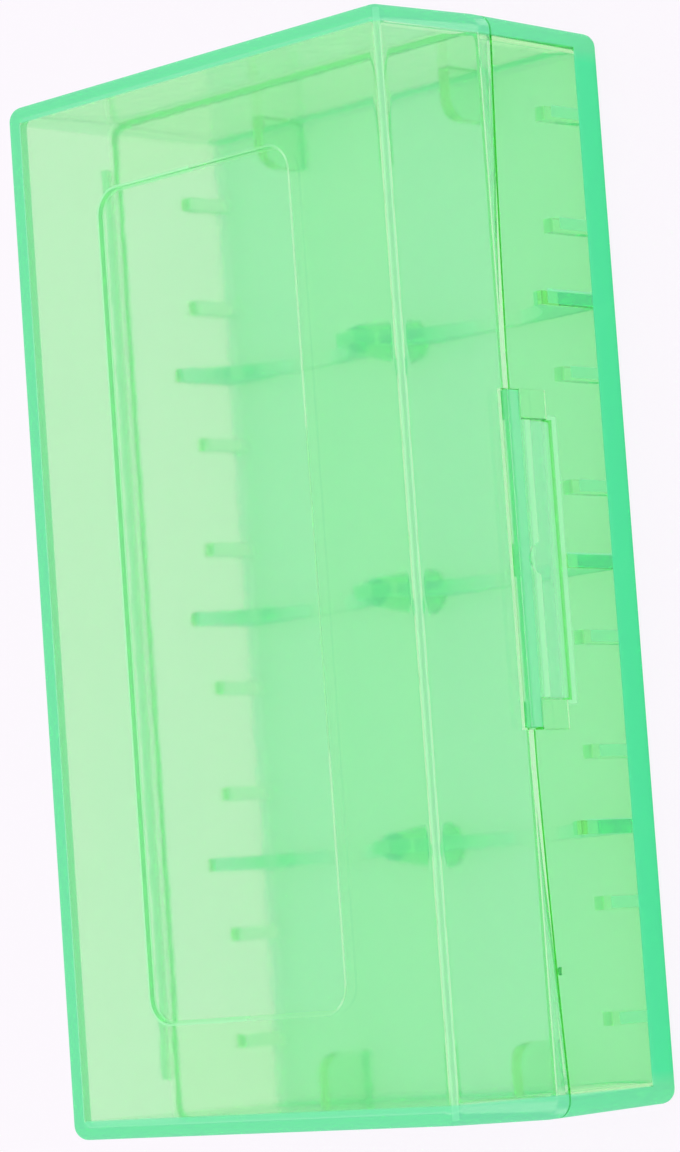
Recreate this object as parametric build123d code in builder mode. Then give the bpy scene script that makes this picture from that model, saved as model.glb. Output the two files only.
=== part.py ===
from build123d import *
import os
from math import radians, tan

os.makedirs("parts", exist_ok=True)

# Outside of the closed box, widest at the rim where the halves meet
length = 79.0
width = 41.2
height = 23.1
rim = 12.7
draft_angle = 1.5
corner_radius = 1.4
edge_round = 0.9

# Moulded walls
wall = 1.25
lid_wall = 0.9
floor_thick = 1.65
lid_thick = 1.2
inner_corner = 1.0
floor_round = 0.6
lid_round = 0.2
overrun = 1.0

# Rim: the lid's skirt hangs outside the tray's tongue on three sides, and the rear is a plain butt
tongue_thick = 0.5
seam_ends = 11.85
arch_rise = 1.0
skirt_back = 17.5
rear_rim = 12.15
rim_clear = 0.1
rim_gap = 0.1
seam_gap = 0.2
step_clear = 0.2

# Label recess in the outside of the lid
recess_length = 62.0
recess_width = 20.6
recess_depth = 0.4
recess_radius = 2.0

# Ribs that hold two long cells in lanes or four short cells in bays
bays = 4
lanes = 2
rib_thick = 1.0
rib_reach = 1.1
rib_top = 6.0
rib_spread = 8.25
saddle_top = 7.85
saddle_web = 0.35
saddle_clear = 0.15
post_radius = 1.15
post_waist = 5.9
post_top = 7.9
post_tip = 0.3
post_foot = 1.7
stop_reach = 4.1
stop_top = 6.1
stop_round = 1.6

# Living hinge along the rear
hinge_length = 70.6
hinge_reach = 0.6
bead_radius = 0.25
leaf_thick = 0.4

# Latch flap at the front: a proud beam with a nail notch, two arms and a plate that thins to a lip
arm_length = 24.0
arm_reach = 2.1
arm_bottom = 12.2
flap_top = 13.5
flap_bottom = 8.6
flap_thick = 0.5
lip_thick = 0.2
lip_top = 9.9
flap_clear = 0.1
flap_side_clear = 0.15
pocket_depth = 0.6
beam_bottom = 11.35
beam_proud = 0.55
beam_round = 0.08
nail_radius = 1.2
nail_height = 11.05
guard_clear = 0.25
guard_bottom = 9.2
guard_proud = 0.22
guard_round = 0.1
notch_clear = 0.1

# Small moulding nib beside the front seam
nib_along = -29.2
nib_below = 0.35
nib_radius = 0.3

tray_rim = rim - rim_gap / 2
lid_rim = rim + rim_gap / 2
tray_rear = rear_rim - rim_gap / 2
lid_rear = rear_rim + rim_gap / 2
tray_shoulder = seam_ends - seam_gap / 2
skirt_bottom = seam_ends + seam_gap / 2
skirt_height = rim - seam_ends
tongue_inset = wall - tongue_thick
skirt_thick = tongue_inset - rim_clear
inner_length = length - 2 * wall
inner_width = width - 2 * wall
lid_inner_length = length - 2 * lid_wall
lid_inner_width = width - 2 * lid_wall
arch_half = length / 2 - corner_radius
bay = inner_length / bays
lane = inner_width / lanes / 2
saddle_radius = lane - saddle_clear
cell_axis = floor_thick + saddle_web + saddle_radius
hinge_y = width / 2 + hinge_reach
front = width / 2
flap_inside = front - pocket_depth + flap_clear
flap_length = arm_length - 2 * arm_reach
flap_gap_half = flap_length / 2 + flap_side_clear
pocket_half = arm_length / 2 + flap_side_clear
guard_top = arm_bottom - guard_clear


def wall_inset(height):
    """How far a drafted wall stands in at this height from its full size at the rim."""
    return max(tray_rim - height, height - lid_rim) * tan(radians(draft_angle))


def front_arch(ends):
    """Left end, crown and right end of the shallow arch of the front seam."""
    return (-arch_half, ends), (0, ends + arch_rise), (arch_half, ends)


def seam_at(along):
    """Height of the front seam at this place along the box."""
    return seam_ends + arch_rise * (1 - (along / arch_half) ** 2)


def looking_down(height):
    """Plane at this height whose extrusions go down, so that a taper narrows towards the floor."""
    return Plane(origin=(0, 0, height), x_dir=(1, 0, 0), z_dir=(0, 0, -1))


# Tray: drafted shell with its tongue, ribs, saddles, end stops and the pocket for the latch
with BuildPart() as base_tray:
    with BuildSketch(looking_down(tray_rim)):
        RectangleRounded(length, width, corner_radius)
    extrude(amount=tray_rim, taper=draft_angle)
    fillet(base_tray.faces().sort_by(Axis.Z)[0].edges(), edge_round)
    with BuildSketch(Plane.XY.offset(tray_shoulder)):
        with Locations((0, (skirt_back - front - overrun) / 2)):
            Rectangle(length + 2 * overrun, skirt_back + front + overrun)
        RectangleRounded(
            length - 2 * tongue_inset,
            width - 2 * tongue_inset,
            corner_radius - tongue_inset,
            mode=Mode.SUBTRACT,
        )
    extrude(amount=skirt_height + overrun, mode=Mode.SUBTRACT)
    with BuildSketch(Plane.XY.offset(tray_rear)):
        with Locations((0, (skirt_back + front + overrun) / 2)):
            Rectangle(length + 2 * overrun, front + overrun - skirt_back)
    extrude(amount=rim - rear_rim + overrun, mode=Mode.SUBTRACT)
    with BuildSketch(Plane.XZ.offset(front - wall_inset(tray_shoulder))):
        left, crown, right = front_arch(tray_shoulder)
        with BuildLine():
            ThreePointArc(left, crown, right)
            Line(right, left)
        make_face()
        with Locations((0, tray_shoulder + skirt_height / 2)):
            Rectangle(2 * arch_half, skirt_height, mode=Mode.INTERSECT)
    extrude(amount=-wall)
    with BuildSketch(looking_down(tray_rim)):
        RectangleRounded(inner_length, inner_width, inner_corner)
    extrude(amount=tray_rim - floor_thick, taper=draft_angle, mode=Mode.SUBTRACT)
    fillet(base_tray.faces().filter_by(Axis.Z).sort_by(Axis.Z)[1].edges(), floor_round)

    # short ribs in pairs on both long walls
    with BuildSketch(Plane.XY.offset(floor_thick / 2)):
        rib_centre = (inner_width + wall) / 2 - (rib_reach + wall / 2) / 2
        rib_spots = []
        for number in range(bays):
            centre = (number - (bays - 1) / 2) * bay
            for along in (centre - rib_spread / 2, centre + rib_spread / 2):
                rib_spots += [(along, rib_centre), (along, -rib_centre)]
        with Locations(*rib_spots):
            Rectangle(rib_thick, rib_reach + wall / 2)
    extrude(amount=rib_top - floor_thick / 2)

    # scalloped saddles between the bays, each with a post between the lanes, a bullet on a cone
    for number in range(1, bays):
        station = (number - bays / 2) * bay
        with BuildSketch(Plane.YZ.offset(station)):
            with Locations((0, saddle_top / 2 + floor_thick / 2 / 2)):
                Rectangle(inner_width + wall, saddle_top - floor_thick / 2)
            with Locations((-lane, cell_axis), (lane, cell_axis)):
                Circle(saddle_radius, mode=Mode.SUBTRACT)
        extrude(amount=rib_thick / 2, both=True)
        with BuildSketch(Plane.XZ):
            waist = (station + post_radius, post_waist)
            with BuildLine():
                tip = TangentArc(waist, (station + post_tip, post_top), tangent=(0, 1))
                Polyline(
                    tip @ 1,
                    (station, post_top),
                    (station, floor_thick / 2),
                    (station + post_foot, floor_thick / 2),
                    (station + post_foot, floor_thick),
                    waist,
                )
            make_face()
        revolve(axis=Axis((station, 0, 0), (0, 0, 1)))

    # end stops: an upright plate with a round nose in the middle of each lane at both ends
    for side in (-lane, lane):
        with BuildSketch(Plane.XZ.offset(-side)):
            for end in (-1, 1):
                at_wall = end * (inner_length / 2 + wall / 2 - wall_inset(0))
                at_nose = end * (inner_length / 2 - stop_reach)
                round_start = at_nose + end * stop_round
                with BuildLine():
                    nose = TangentArc(
                        (at_nose, stop_top - stop_round),
                        (round_start, stop_top),
                        tangent=(0, 1),
                    )
                    Polyline(
                        nose @ 1,
                        (at_wall, stop_top),
                        (at_wall, floor_thick / 2),
                        (at_nose, floor_thick / 2),
                        nose @ 0,
                    )
                make_face()
        extrude(amount=rib_thick / 2, both=True)

    # pocket for the flap, cut from the front, with a raised guard at each side
    with BuildSketch(Plane.XZ.offset(front + overrun)):
        pocket_top = tray_rim + overrun
        with Locations((0, (flap_bottom - flap_side_clear + pocket_top) / 2)):
            Rectangle(2 * flap_gap_half, pocket_top - flap_bottom + flap_side_clear)
        with Locations((0, (guard_top + pocket_top) / 2)):
            Rectangle(2 * pocket_half, pocket_top - guard_top)
    extrude(amount=-(overrun + pocket_depth), mode=Mode.SUBTRACT)
    with BuildSketch(Plane.XZ.offset(front - pocket_depth)):
        guard_x = (flap_gap_half + pocket_half) / 2
        guard_z = (guard_bottom + guard_top) / 2
        with Locations((-guard_x, guard_z), (guard_x, guard_z)):
            Rectangle(pocket_half - flap_gap_half, guard_top - guard_bottom)
    extrude(amount=pocket_depth + guard_proud)
    guard_faces = base_tray.faces().filter_by(Axis.Y).sort_by(Axis.Y)[:2]
    fillet(guard_faces.edges(), guard_round)

    # moulding nib
    with Locations((nib_along, -front, seam_at(nib_along) - nib_below)):
        Sphere(nib_radius)

# Lid: drafted shell with the label recess, the skirt outside the tongue and its leaf of the hinge
with BuildPart() as lid:
    with BuildSketch(Plane.XY.offset(lid_rim)):
        RectangleRounded(length, width, corner_radius)
    extrude(amount=height - lid_rim, taper=draft_angle)
    fillet(lid.faces().sort_by(Axis.Z)[-1].edges(), edge_round)
    with BuildSketch(looking_down(lid_rim)):
        RectangleRounded(length, width, corner_radius)
    extrude(amount=lid_rim - skirt_bottom, taper=draft_angle)
    with BuildSketch(Plane.XY.offset(skirt_bottom)):
        RectangleRounded(length - 2 * skirt_thick, width - 2 * skirt_thick, corner_radius - skirt_thick)
        with Locations((0, (skirt_back + step_clear + front + overrun) / 2)):
            Rectangle(length + 2 * overrun, front + overrun - skirt_back - step_clear, mode=Mode.SUBTRACT)
        RectangleRounded(lid_inner_length, lid_inner_width, inner_corner)
    extrude(amount=lid_rim - skirt_bottom, mode=Mode.SUBTRACT)
    with BuildSketch(Plane.XY.offset(skirt_bottom)):
        with Locations((0, (skirt_back - step_clear + front + overrun) / 2)):
            Rectangle(length + 2 * overrun, front + overrun - skirt_back + step_clear)
    extrude(amount=lid_rear - skirt_bottom, mode=Mode.SUBTRACT)
    with BuildSketch(Plane.XZ.offset(front + overrun)):
        left, crown, right = front_arch(skirt_bottom)
        with BuildLine():
            ThreePointArc(left, crown, right)
            Line(right, left)
        make_face()
        with Locations((0, skirt_bottom + skirt_height / 2)):
            Rectangle(2 * arch_half, skirt_height, mode=Mode.INTERSECT)
    extrude(amount=-(overrun + wall), mode=Mode.SUBTRACT)
    with BuildSketch(Plane.XY.offset(lid_rim)):
        RectangleRounded(lid_inner_length, lid_inner_width, inner_corner)
    extrude(amount=height - lid_thick - lid_rim, taper=draft_angle, mode=Mode.SUBTRACT)
    fillet(lid.faces().filter_by(Axis.Z).sort_by(Axis.Z)[-2].edges(), lid_round)
    with BuildSketch(Plane.XY.offset(height - recess_depth)):
        RectangleRounded(recess_length, recess_width, recess_radius)
    extrude(amount=recess_depth + overrun, mode=Mode.SUBTRACT)
    with BuildSketch(Plane.XZ.offset(front + overrun)):
        notch_top = flap_top + notch_clear
        with Locations((0, (skirt_bottom + notch_top) / 2)):
            Rectangle(2 * pocket_half, notch_top - skirt_bottom)
    extrude(amount=-(overrun + pocket_depth), mode=Mode.SUBTRACT)
    with BuildSketch(Plane.YZ.offset(-hinge_length / 2)):
        leaf_low = lid_rear
        leaf_high = leaf_low + leaf_thick
        with BuildLine():
            Polyline(
                (width / 2 - lid_wall / 2, leaf_low),
                (hinge_y, leaf_low),
                (hinge_y, leaf_high),
                (width / 2 - lid_wall / 2, leaf_high),
                close=True,
            )
        make_face()
        with Locations((hinge_y, rear_rim)):
            Circle(bead_radius + rim_clear, mode=Mode.SUBTRACT)
    extrude(amount=hinge_length)

# Living hinge: the bead on the folding line with its leaf against the rear wall of the tray
with BuildPart() as living_hinge:
    with BuildSketch(Plane.YZ.offset(-hinge_length / 2)):
        leaf_high = tray_rear
        leaf_low = leaf_high - leaf_thick
        with Locations((hinge_y, rear_rim)):
            Circle(bead_radius)
        with BuildLine():
            Polyline(
                (width / 2 - wall_inset(leaf_low), leaf_low),
                (hinge_y - rim_clear, leaf_low),
                (hinge_y - rim_clear, leaf_high),
                (width / 2 - wall_inset(leaf_high), leaf_high),
                close=True,
            )
        make_face()
    extrude(amount=hinge_length)

# Latch flap: plate with its lip, the proud beam above it with its nail notch, and the two arms
with BuildPart() as latch_flap:
    with BuildSketch(Plane.YZ.offset(-flap_length / 2)):
        with BuildLine():
            Polyline(
                (-flap_inside, flap_top),
                (-flap_inside, flap_bottom),
                (-flap_inside - lip_thick, flap_bottom),
                (-flap_inside - flap_thick, lip_top),
                (-flap_inside - flap_thick, flap_top),
                close=True,
            )
        make_face()
    extrude(amount=flap_length)
    with BuildSketch(Plane.XZ.offset(flap_inside)):
        with Locations((0, (arm_bottom + flap_top) / 2)):
            Rectangle(arm_length, flap_top - arm_bottom)
        with Locations((0, (beam_bottom + flap_top) / 2)):
            Rectangle(flap_length, flap_top - beam_bottom)
        with Locations((0, nail_height)):
            Circle(nail_radius, mode=Mode.SUBTRACT)
    extrude(amount=flap_thick + beam_proud)
    fillet(latch_flap.faces().filter_by(Axis.Y).sort_by(Axis.Y)[0].edges(), beam_round)

base_tray.part.label = "base_tray"
lid.part.label = "lid"
living_hinge.part.label = "living_hinge"
latch_flap.part.label = "latch_flap"
export_step(base_tray.part, "parts/base_tray.step")
export_step(lid.part, "parts/lid.step")
export_step(living_hinge.part, "parts/living_hinge.step")
export_step(latch_flap.part, "parts/latch_flap.step")
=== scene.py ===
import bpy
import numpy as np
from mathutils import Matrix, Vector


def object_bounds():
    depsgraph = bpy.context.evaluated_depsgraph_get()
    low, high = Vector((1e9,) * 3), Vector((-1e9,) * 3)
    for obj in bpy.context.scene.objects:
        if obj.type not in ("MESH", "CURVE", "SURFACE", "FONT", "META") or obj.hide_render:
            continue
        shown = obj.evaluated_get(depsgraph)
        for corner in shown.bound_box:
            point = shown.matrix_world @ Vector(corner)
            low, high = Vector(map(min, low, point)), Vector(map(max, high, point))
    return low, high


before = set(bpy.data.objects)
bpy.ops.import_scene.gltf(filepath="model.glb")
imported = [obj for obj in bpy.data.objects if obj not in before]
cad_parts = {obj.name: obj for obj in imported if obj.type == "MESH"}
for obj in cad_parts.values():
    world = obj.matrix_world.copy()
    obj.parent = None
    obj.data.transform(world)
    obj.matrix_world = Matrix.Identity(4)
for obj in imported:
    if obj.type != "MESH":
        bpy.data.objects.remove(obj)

# %% [markdown]
# A pocket case for round cells, moulded in clear green polypropylene. The packed CAD model is the frame of this
# scene: every node already sits where it belongs, in metres. So this lesson only looks at it, lights it and
# gives it its plastic. The box of the bare model is measured first.

cad_low, cad_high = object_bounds()
scene = bpy.context.scene
scene.view_settings.view_transform = "Standard"
print("model box in mm:", [round(1000 * v, 2) for v in (*cad_low, *cad_high)])

# %% [markdown]
# The camera. The picture is a portrait frame of a box that lies flat with its length almost upright in the
# frame, so the camera is rolled by about a quarter turn. A long lens keeps the sides nearly parallel. The
# place and the axes of a camera could be set by eye, but a fit to the edges of the box is surer.

# %% Camera
FRAME_HEIGHT = 1152
FOCAL_PIXELS = 4488.0
SENSOR = 36.0
NEAR, FAR = 0.01, 20.0
EYE = Vector((-0.029359, -0.237987, 0.242594))
RIGHT = Vector((-0.07040, -0.69156, -0.71888))
UP = Vector((0.99332, -0.11467, 0.01303))

camera_data = bpy.data.cameras.new("photo_camera")
camera_data.sensor_width = SENSOR
camera_data.lens = FOCAL_PIXELS * SENSOR / FRAME_HEIGHT
camera_data.clip_start, camera_data.clip_end = NEAR, FAR
camera = bpy.data.objects.new("photo_camera", camera_data)
scene.collection.objects.link(camera)
turn = Matrix((RIGHT.normalized(), UP.normalized(), RIGHT.cross(UP).normalized())).transposed()
camera.matrix_world = Matrix.Translation(EYE) @ turn.to_4x4()
scene.camera = camera
print("lens in mm:", round(camera_data.lens, 2))

# %% [markdown]
# Shader maths reads best as plain sums. This class wraps one output socket. Its operators add Math nodes,
# and its `node` method adds any other node: settings first, then the values or links of its sockets.

# %% A socket that can be calculated with
class Wire:
    """One output socket of a material, with the operators that the finishes use."""

    def __init__(self, tree, socket):
        self.tree, self.socket = tree, socket

    def node(self, kind, settings=None, output=0, **inputs):
        """Adds a node of this kind. Sockets are named with _ for spaces, or by number as i0, i1 and so on."""
        made = self.tree.nodes.new(kind)
        for name, value in (settings or {}).items():
            setattr(made, name, value)
        for name, value in inputs.items():
            key = int(name[1:]) if name[1:].isdigit() else name.replace("_", " ")
            if isinstance(value, Wire):
                self.tree.links.new(value.socket, made.inputs[key])
            else:
                made.inputs[key].default_value = value
        return Wire(self.tree, made.outputs[output]) if output is not None else None

    def math(self, operation, first, second=0.0):
        return self.node("ShaderNodeMath", {"operation": operation}, i0=first, i1=second)

    def __add__(self, other):
        return self.math("ADD", self, other)

    def __radd__(self, other):
        return self.math("ADD", other, self)

    def __sub__(self, other):
        return self.math("SUBTRACT", self, other)

    def __rsub__(self, other):
        return self.math("SUBTRACT", other, self)

    def __mul__(self, other):
        return self.math("MULTIPLY", self, other)

    def __rmul__(self, other):
        return self.math("MULTIPLY", other, self)

    def __truediv__(self, other):
        return self.math("DIVIDE", self, other)

    def __rtruediv__(self, other):
        return self.math("DIVIDE", other, self)

    def __neg__(self):
        return 0.0 - self

    def __abs__(self):
        return self.math("ABSOLUTE", self)

    def or_else(self, other):
        """The larger of two values."""
        return self.math("MAXIMUM", self, other)

    def at_most(self, other):
        """The smaller of two values."""
        return self.math("MINIMUM", self, other)

    def limited(self):
        """The value kept between 0 and 1."""
        return self.node("ShaderNodeClamp", Value=self)


def new_material(name):
    """An empty node material and a wire on its Object coordinates."""
    material = bpy.data.materials.new(name)
    material.use_nodes = True
    material.node_tree.nodes.clear()
    coordinates = material.node_tree.nodes.new("ShaderNodeTexCoord")
    return material, Wire(material.node_tree, coordinates.outputs["Object"])


print("operators:", [name for name in vars(Wire) if name.startswith("__r")])

# %% [markdown]
# Clear green plastic. Thin walls look pale and edges look deep green, because the light there has gone
# further through the plastic. A painted tint couldn't do that, so the colour comes from absorption inside
# the solid. Polypropylene is also a little milky: fine crystals send some light back with a blue-green cast,
# so a small share of every surface is a diffuse milk, and brings back light that would be trapped inside.

# %% What the plastic does to light
IOR = 1.49
LOST_PER_METRE = np.array([147.0, 7.0, 208.0])
DENSITY = 280.0
INSIDE_TINT = (*(1 - LOST_PER_METRE / DENSITY), 1.0)
# This colour is the milk, and also painted shade on the tray's floor and in the stripes opposite the saddles.
MILK_AND_SHADE_COLOUR = (0.22, 0.88, 0.64, 1.0)
MILK_SHARE = 0.05
print("light left after 2 mm:", np.exp(-0.002 * LOST_PER_METRE).round(3))

# %% [markdown]
# Some places are cloudier than others, and each is found from the coordinates of the box in millimetres.
# A place could be painted by hand as a vertex colour, but a mask that is worked out stays sharp at any size.
# `band`, `above` and `below` are the building blocks. Multiplying two masks keeps what lies in both.

# %% Masks from coordinates
HALF_LENGTH, HALF_WIDTH, HEIGHT = 39.5, 20.6, 23.1
FADE = 0.1


def axes(place):
    """The three Object coordinates in millimetres."""
    apart = place.node("ShaderNodeSeparateXYZ", Vector=place).socket.node.outputs
    return [1000.0 * Wire(place.tree, socket) for socket in apart]


def band(value, low, high, fade=FADE):
    """1 between low and high, with a fade inside each limit."""
    return ((value - low).at_most(high - value) / fade).limited()


def above(value, low, fade=FADE):
    """1 from a little above low."""
    return ((value - low) / fade).limited()


def below(value, high, fade=FADE):
    """1 up to a little below high."""
    return ((high - value) / fade).limited()


def between_walls(x, y, half_length, half_width):
    """1 inside this rectangle, 0 on the walls around it."""
    return above((half_length - abs(x)).at_most(half_width - abs(y)), 0.0)


print("box in mm:", 2 * HALF_LENGTH, 2 * HALF_WIDTH, HEIGHT)

# %% [markdown]
# Painted edge shade. The outer edges look deeper green, because light goes a long way through the plastic
# there. That deep green is painted on them as a matt layer: around the top, up the corners and around the foot,
# and less at the two rear corners. Geometry's Pointiness could find edges, but it needs a fine, joined mesh,
# and a CAD node is loose triangles. On a box an edge is also the place that lies deep in two of the strips
# along its sides: the smaller of the two depths is above 0 there.

# %% Painted edge shade
EDGE_STRIP, END_STRIP, FOOT_STRIP = 2.1, 1.75, 3.0
STRIP_FADE, FOOT_END_FADE = 0.15, 1.0
EDGE_SHARE, REAR_SHARE = 0.78, 0.3
# The next two colours are painted shade: the deep green that light takes through the edges and the foot. The
# first also paints the stripes opposite the ribs and the shadow on the top of the flap's beam.
PAINTED_SHADE_COLOUR = (0.20, 0.84, 0.46, 1.0)
FOOT_SHADE_COLOUR = (0.08, 0.82, 0.375, 1.0)


def painted_edge_shade(x, y, z):
    """Painted shade on the edges of the top and the foot and the four corners, each as the smaller of two
    depths into the strips.
    """
    in_end = abs(x) - (HALF_LENGTH - END_STRIP)
    in_rear = y - (HALF_WIDTH - EDGE_STRIP)
    in_front = -y - (HALF_WIDTH - EDGE_STRIP)
    top = in_end.or_else(in_rear).at_most(z - (HEIGHT - EDGE_STRIP))
    foot = in_end.or_else(in_front).at_most(FOOT_STRIP - z)
    painted_shade = above(top.or_else(foot).or_else(in_end.at_most(in_front)), 0.0, STRIP_FADE)
    rear_corners = above(in_end.at_most(in_rear), 0.0, STRIP_FADE)
    return EDGE_SHARE * painted_shade.or_else(REAR_SHARE * rear_corners)


def painted_foot_shade(x, y, z):
    """Painted shade on the lowest strip of the front wall, between the ends."""
    wall = above(-y, HALF_WIDTH - EDGE_STRIP) * below(abs(x), HALF_LENGTH - END_STRIP, FOOT_END_FADE)
    return EDGE_SHARE * wall * below(z, FOOT_STRIP, STRIP_FADE)


print("worn strips in mm:", EDGE_STRIP, END_STRIP, FOOT_STRIP)

# %% [markdown]
# Cloudy places in the tray, and painted shade on its floor. The upper face of the floor takes a share of milk
# as painted shade: the green-tinted shade on the ground under the box, seen through the floor. The ribs and
# saddles are cloudy because thick places cool slowly and grow more crystals. That is more of the same milk, so
# these functions give a share of milk. The saddles repeat along the box, and the distance from the nearest one
# folds the box like paper: `abs` of x, and `abs` again around the pitch, so one formula serves all three.

# %% Cloudy places in the tray, and painted floor shade
TRAY_FLOOR, TRAY_FLOOR_LOW, TRAY_FLOOR_TOP, TRAY_FLOOR_SHARE = (38.2, 19.3), 1.0, 2.3, 0.34
RIB_SPACE, RIB_END, RIB_SHARE = (37.7, 18.9), 33.5, 0.20
SADDLE_PITCH, SADDLE_REACH, SADDLE_SHARE = 19.125, 2.0, 0.25


def from_saddle(x):
    """Distance from the nearest of the three saddles."""
    return abs(x).at_most(abs(abs(x) - SADDLE_PITCH))


def painted_floor_shade(x, y, z):
    """Painted shade on the upper face of the floor with the round at its foot."""
    return TRAY_FLOOR_SHARE * between_walls(x, y, *TRAY_FLOOR) * band(z, TRAY_FLOOR_LOW, TRAY_FLOOR_TOP)


def cloudy_ribs(x, y, z):
    """Everything that stands on the floor between the end stops, most of all the saddles with their posts."""
    share = RIB_SHARE * below(abs(x), RIB_END) + SADDLE_SHARE * below(from_saddle(x), SADDLE_REACH)
    return share * between_walls(x, y, *RIB_SPACE) * above(z, TRAY_FLOOR_TOP - FADE)


print("saddles in mm:", [-SADDLE_PITCH, 0.0, SADDLE_PITCH])

# %% [markdown]
# Painted shade on the long walls. The shade of each rib and saddle, seen through the wall, is painted on the
# outside as a stripe opposite it: milk opposite the saddles, and the painted edge shade opposite the ribs.

# %% Painted shade on the long walls
WALL_FACE = 19.8
MARK_LOW = FOOT_STRIP - STRIP_FADE
SADDLE_TOP, SADDLE_MARK_HALF, SADDLE_MARK_SHARE = 7.9, 0.6, 0.25
RIB_TOP, RIB_SPREAD, RIB_MARK_HALF, RIB_MARK_SHARE = 6.0, 8.25, 0.5, 0.35


def painted_saddle_shade(x, y, z):
    """Painted shade in stripes opposite the saddles, from the shaded foot strip to the height of the saddles.
    """
    wall = above(abs(y), WALL_FACE) * band(z, MARK_LOW, SADDLE_TOP)
    return SADDLE_MARK_SHARE * below(from_saddle(x), SADDLE_MARK_HALF) * wall


def painted_rib_shade(x, y, z):
    """Painted shade in stripes opposite the ribs, which stand at the same distance on both sides of the middle
    of each bay.
    """
    from_middle = abs(abs(abs(x) - SADDLE_PITCH) - SADDLE_PITCH / 2)
    wall = above(abs(y), WALL_FACE) * band(z, MARK_LOW, RIB_TOP)
    return RIB_MARK_SHARE * below(abs(from_middle - RIB_SPREAD / 2), RIB_MARK_HALF) * wall


print("marks reach up to", SADDLE_TOP, "and", RIB_TOP, "mm")

# %% [markdown]
# Painted highlights on the lid. A pale matt layer paints the highlight along the middle of the round of the
# front top edge, and along the step around the label recess, most of all on the side of the hinge. A step that
# goes round a corner needs no angles: beyond the centres of its corners, its distance is the corner's radius.

# %% Painted highlights on the lid
# This pale colour is painted light and highlight on the lid, the tray and the flap, and the real whitening
# along the folds of the hinge.
WHITENING_AND_HIGHLIGHT_COLOUR = (0.42, 0.96, 0.52, 1.0)
LID_DRAFT, EDGE_ROUND = 0.27, 0.9
HIGHLIGHT_HALF, HIGHLIGHT_OUT, HIGHLIGHT_SHARE = 0.4, 0.8, 0.7
RECESS_HALF_LENGTH, RECESS_HALF_WIDTH, RECESS_ROUND = 31.0, 10.3, 2.0
STEP_SPREAD, STEP_REACH, STEP_SHARE, STEP_REAR_SHARE = 0.8, 0.5, 0.3, 0.3


def painted_edge_highlight(x, y, z):
    """Painted highlight on the middle of the round along the front top edge."""
    out = -y - (HALF_WIDTH - LID_DRAFT - EDGE_ROUND)
    up = z - (HEIGHT - EDGE_ROUND)
    return HIGHLIGHT_SHARE * band(up - out, -HIGHLIGHT_HALF, HIGHLIGHT_HALF) * above(up + out, HIGHLIGHT_OUT)


def painted_step_highlight(x, y, z):
    """Painted highlight on the wall of the label recess: the squared distance from the corner centres is near
    the squared radius.
    """
    over_x = (abs(x) - (RECESS_HALF_LENGTH - RECESS_ROUND)).or_else(0.0)
    over_y = (abs(y) - (RECESS_HALF_WIDTH - RECESS_ROUND)).or_else(0.0)
    squared = RECESS_ROUND ** 2
    step = band(over_x * over_x + over_y * over_y, squared - STEP_SPREAD, squared + STEP_SPREAD)
    return (STEP_SHARE + STEP_REAR_SHARE * above(y, 0.0)) * step * above(z, HEIGHT - STEP_REACH)


print("recess in mm:", 2 * RECESS_HALF_LENGTH, 2 * RECESS_HALF_WIDTH)

# %% [markdown]
# Painted light in the tray. A pale matt layer paints light on the tops of the rim, on the sill of the flap's
# pocket, on the posts and on the tops of the front ribs. A clear face there would let light run down into the
# wall and show as a dark line, where the real box has a pale one.

# %% Painted light in the tray
TONGUE_TOP, REAR_RIM_TOP, REAR_RIM, RIM_SHARE = (12.5, 12.8), (11.95, 12.25), 17.4, 0.5
SILL, SILL_HALF, SILL_SHARE = (7.9, 9.0), 10.4, 0.75
NECK, NECK_HALF, NECK_FADE, NECK_SHARE = (1.7, 6.5), 1.9, 0.3, 0.55
FRONT_RIBS, RIB_TOP_HALF, RIB_TOP_SHARE = (17.0, 19.3), 0.15, 0.55


def painted_rim_light(x, y, z):
    """Painted light on the upper faces of the tray's tongue and of its rear rim."""
    return RIM_SHARE * (band(z, *TONGUE_TOP) + band(z, *REAR_RIM_TOP) * above(y, REAR_RIM)).limited()


def painted_sill_light(x, y, z):
    """Painted light on the sill of the pocket under the flap."""
    return SILL_SHARE * band(z, *SILL) * below(abs(x), SILL_HALF) * above(-y, WALL_FACE)


def painted_neck_light(x, y, z):
    """Painted light on the lower part of the posts, inside a square around each."""
    return NECK_SHARE * below(abs(y).or_else(from_saddle(x)), NECK_HALF) * band(z, *NECK, NECK_FADE)


def painted_rib_top_light(x, y, z):
    """Painted light on the upper faces of the ribs on the front wall, away from the saddles."""
    tops = band(z, RIB_TOP - RIB_TOP_HALF, RIB_TOP + RIB_TOP_HALF)
    return RIB_TOP_SHARE * tops * band(-y, *FRONT_RIBS) * above(from_saddle(x), SADDLE_REACH)


print("rim tops in mm:", TONGUE_TOP, REAR_RIM_TOP)

# %% [markdown]
# Bent places, and painted light on the flap. Polypropylene turns pale along a fold, as in the leaves of the
# hinge. On the flap, the thin lip at its foot and the step under its beam take painted highlights, and the top
# of its beam takes painted shadow from the lid's rim above it. The two leaves belong to two pieces, and one
# mask in the coordinates of the closed box finds both.

# %% Bent places, and painted light and shadow on the flap
LEAF, LEAF_FACE, LEAF_SHARE = (11.4, 12.9), 20.4, 0.35
LIP_TOP, LIP_FADE, LIP_SHARE = 9.7, 0.6, 0.55
BEAM_STEP, BEAM_STEP_SHARE = (11.15, 12.2), 0.65
BEAM_LOW, BEAM_FADE, BEAM_SHARE = 12.2, 0.3, 0.38


def folded_leaf(x, y, z):
    """Both leaves of the hinge."""
    return LEAF_SHARE * above(y, LEAF_FACE) * band(z, *LEAF)


def painted_flap_highlights(x, y, z):
    """Painted highlights on the thin lip at the foot of the flap and on the step under its beam."""
    return LIP_SHARE * below(z, LIP_TOP, LIP_FADE) + BEAM_STEP_SHARE * band(z, *BEAM_STEP, BEAM_FADE)


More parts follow.
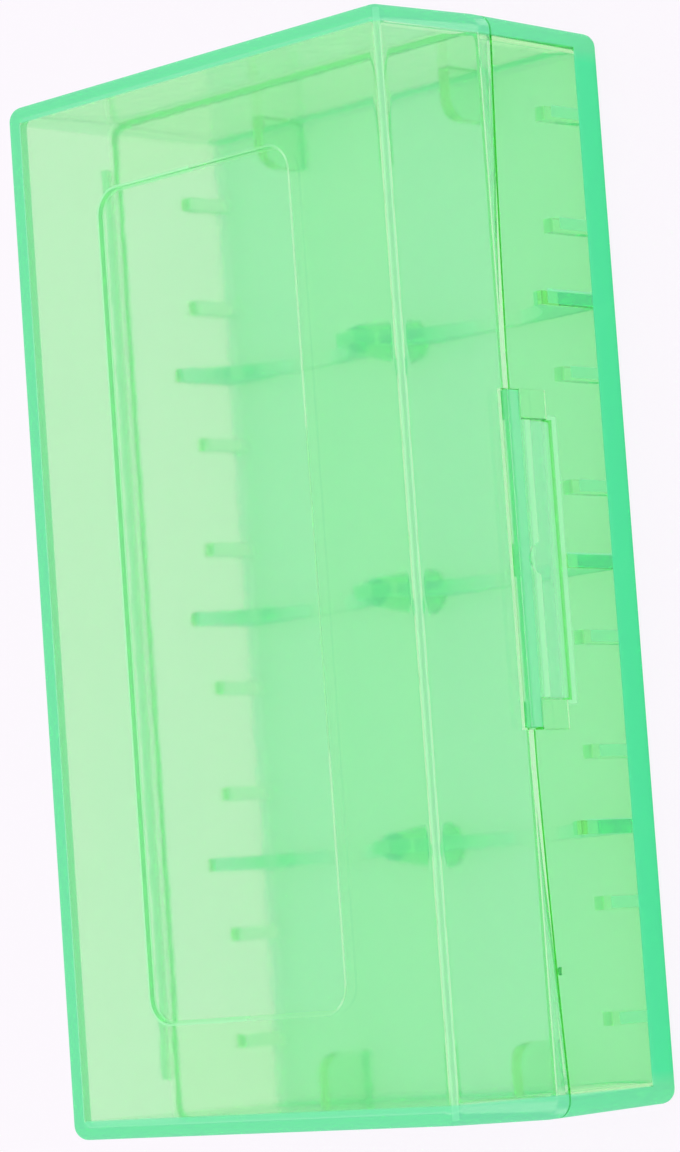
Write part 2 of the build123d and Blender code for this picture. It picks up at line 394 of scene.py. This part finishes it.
def painted_beam_shadow(x, y, z):
    """Painted shadow on the upper part of the beam, under the lid's rim."""
    return BEAM_SHARE * above(z, BEAM_LOW, BEAM_FADE)


print("highlight of the lip up to", LIP_TOP, "mm, beam from", BEAM_LOW, "mm")

# %% [markdown]
# The surface of a moulding is never quite even. Melt flows along the box from the gate and leaves faint
# cloudy streaks, the mould leaves a fine ripple, and handling leaves smudges that dull the gloss. All three
# are stretched noise on Object coordinates, in sizes that belong to a box of 8 cm.

# %% Uneven surface
FLOW_STRETCH, FLOW_LOW, FLOW_SPAN = (25.0, 90.0, 90.0), 0.6, 0.8
SMUDGE_STRETCH, SMUDGE = (45.0, 45.0, 45.0), 0.05
RIPPLE_STRETCH, RIPPLE_STRENGTH, RIPPLE_HEIGHT = (700.0, 700.0, 700.0), 0.03, 0.0002


def stretched_noise(place, stretch, detail=3.0):
    """Noise from 0 to 1 whose blobs are 1/stretch metres long on each axis."""
    scaled = place.node("ShaderNodeMapping", Vector=place, Scale=stretch)
    return place.node("ShaderNodeTexNoise", Vector=scaled, Scale=1.0, Detail=detail)


def clear_surface(place, gloss):
    """A refracting surface with smudges in its gloss and a ripple in its normals."""
    ripple = stretched_noise(place, RIPPLE_STRETCH, detail=1.0)
    return place.node(
        "ShaderNodeBsdfPrincipled",
        Base_Color=(1.0, 1.0, 1.0, 1.0),
        Roughness=gloss + SMUDGE * stretched_noise(place, SMUDGE_STRETCH),
        IOR=IOR,
        Transmission_Weight=1.0,
        Normal=place.node("ShaderNodeBump", Strength=RIPPLE_STRENGTH, Distance=RIPPLE_HEIGHT, Height=ripple),
    )


print("streaks in mm:", [round(1000 / stretch) for stretch in FLOW_STRETCH])

# %% [markdown]
# The whole plastic. Milk lies over the clear surface, and layers of painted shade, of painted light and
# highlight, and of the hinge's fold whitening lie over the milk, each as a matt shader that a Mix Shader lays
# on by its mask. They cover only the outside of the faces: light that comes from inside meets the clear
# surface, or the walls would swallow it. A thin milk is left on both sides.

# %% Plastic
HAZE = 0.07
GLOSS = 0.05


def covered(surface, share, colour):
    """This surface with a share of it under a matt layer."""
    layer = surface.node("ShaderNodeBsdfDiffuse", Color=colour)
    return surface.node("ShaderNodeMixShader", i0=share, i1=surface, i2=layer)


def clear_plastic(name, milk_and_shade_masks=(), layers=(), haze=HAZE, depth=1.0, gloss=GLOSS):
    """Clear surface under milk and coloured layers, over an inside that absorbs depth times the usual."""
    material, place = new_material(name)
    at = axes(place)
    outside = 1.0 - place.node("ShaderNodeNewGeometry", output="Backfacing")
    streaks = MILK_SHARE * (FLOW_LOW + FLOW_SPAN * stretched_noise(place, FLOW_STRETCH))
    milk = streaks + outside * sum((mask(*at) for mask in milk_and_shade_masks), haze)
    surface = covered(clear_surface(place, gloss), milk, MILK_AND_SHADE_COLOUR)
    for colour, masks in layers:
        surface = covered(surface, outside * sum((mask(*at) for mask in masks), 0.0), colour)
    inside = place.node("ShaderNodeVolumeAbsorption", Color=INSIDE_TINT, Density=depth * DENSITY)
    place.node("ShaderNodeOutputMaterial", output=None, Surface=surface, Volume=inside)
    return material


print("milk on the outside:", round(MILK_SHARE + HAZE, 3), "and inside:", MILK_SHARE)

# %% [markdown]
# Four pieces, four plastics. The box is one moulding, so they could share one material. They differ a little
# here: the tray is thicker and deeper green, the hinge is duller, and the flap is hazy from being bent.

# %% The plastic of each piece
TRAY_DEPTH, HINGE_GLOSS, FLAP_HAZE = 1.12, 0.08, 0.13

# The layers: painted light and highlight, with the hinge's fold whitening; painted shade on the edges, in the
# stripes opposite the ribs and on the beam; painted shade on the foot.
tray_layers = [
    (WHITENING_AND_HIGHLIGHT_COLOUR, [painted_rim_light, painted_sill_light, painted_neck_light, painted_rib_top_light]),
    (PAINTED_SHADE_COLOUR, [painted_edge_shade, painted_rib_shade]),
    (FOOT_SHADE_COLOUR, [painted_foot_shade]),
]
lid_layers = [(WHITENING_AND_HIGHLIGHT_COLOUR, [painted_edge_highlight, painted_step_highlight, folded_leaf]), (PAINTED_SHADE_COLOUR, [painted_edge_shade])]
flap_layers = [(WHITENING_AND_HIGHLIGHT_COLOUR, [painted_flap_highlights]), (PAINTED_SHADE_COLOUR, [painted_beam_shadow])]
# Milk on the ribs and saddles, with painted shade on the floor and in stripes opposite the saddles.
tray_milk_and_shade = [painted_floor_shade, cloudy_ribs, painted_saddle_shade]

for node_name, finish in {
    "base_tray": clear_plastic("tray_plastic", tray_milk_and_shade, tray_layers, depth=TRAY_DEPTH),
    "lid": clear_plastic("lid_plastic", layers=lid_layers),
    "living_hinge": clear_plastic("hinge_plastic", layers=[(WHITENING_AND_HIGHLIGHT_COLOUR, [folded_leaf])], gloss=HINGE_GLOSS),
    "latch_flap": clear_plastic("flap_plastic", layers=flap_layers, haze=FLAP_HAZE),
}.items():
    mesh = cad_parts[node_name].data
    mesh.materials.clear()
    mesh.materials.append(finish)
    print(node_name, "takes", finish.name, "with", len(finish.node_tree.nodes), "nodes")

# %% [markdown]
# The floor. A see-through box shows the floor behind it, so the floor has to look as white through the
# plastic as it does beside it. It is a plain diffuse plane, mixed with its own plain colour for the rays that
# the camera sends, straight or through the plastic, so that it keeps only a faint shadow of the box.

# %% Floor
FLOOR_HALF = 3.0
FLOOR_BELOW = 0.0001
FLOOR_COLOUR = (0.98, 0.94, 0.99, 1.0)
PLAIN_SHARE = 0.95
THROUGH_SHARE = 0.62

corners = np.array([(-1, -1, 0), (1, -1, 0), (1, 1, 0), (-1, 1, 0)], float) * FLOOR_HALF
corners[:, 2] = cad_low[2] - FLOOR_BELOW
floor_mesh = bpy.data.meshes.new("studio_floor")
floor_mesh.from_pydata(corners.tolist(), [], [(0, 1, 2, 3)])
floor = bpy.data.objects.new("studio_floor", floor_mesh)
scene.collection.objects.link(floor)

floor_material, floor_place = new_material("studio_floor")
shaded = floor_place.node("ShaderNodeBsdfDiffuse", Color=FLOOR_COLOUR)
plain = floor_place.node("ShaderNodeEmission", Color=FLOOR_COLOUR, Strength=1.0)
rays = floor_material.node_tree.nodes.new("ShaderNodeLightPath")
seen, glossy, through = (
    Wire(floor_material.node_tree, rays.outputs[kind])
    for kind in ("Is Camera Ray", "Is Glossy Ray", "Is Transmission Ray")
)
looked_at = (PLAIN_SHARE * seen).or_else(THROUGH_SHARE * glossy.or_else(through))
mixed = floor_place.node("ShaderNodeMixShader", i0=looked_at, i1=shaded, i2=plain)
floor_place.node("ShaderNodeOutputMaterial", output=None, Surface=mixed)
floor_mesh.materials.append(floor_material)
print("floor at", round(1000 * corners[0, 2], 2), "mm")

# %% [markdown]
# The light. Clear things are lit by what surrounds them, so the studio is an even white world at strength 1,
# where a colour renders about as it is written. Light crosses many walls of plastic here, so the number of
# bounces goes up: with too few, the edges would turn black. Filter Glossy, which blurs a sharp surface after a
# matt one to save noise, is off, because it takes light from the floor under the box.

# %% Light
BOUNCES = 64
FILTER_GLOSSY = 0.0

world = bpy.data.worlds.new("studio")
scene.world = world
world.use_nodes = True
background = world.node_tree.nodes["Background"]
background.inputs["Color"].default_value = (1.0, 1.0, 1.0, 1.0)
background.inputs["Strength"].default_value = 1.0
scene.cycles.blur_glossy = FILTER_GLOSSY
for kind in ("max_bounces", "transmission_bounces", "glossy_bounces", "diffuse_bounces"):
    setattr(scene.cycles, kind, BOUNCES)
    print(kind, getattr(scene.cycles, kind))

# %% [markdown]
# Looks never change the size of the object.
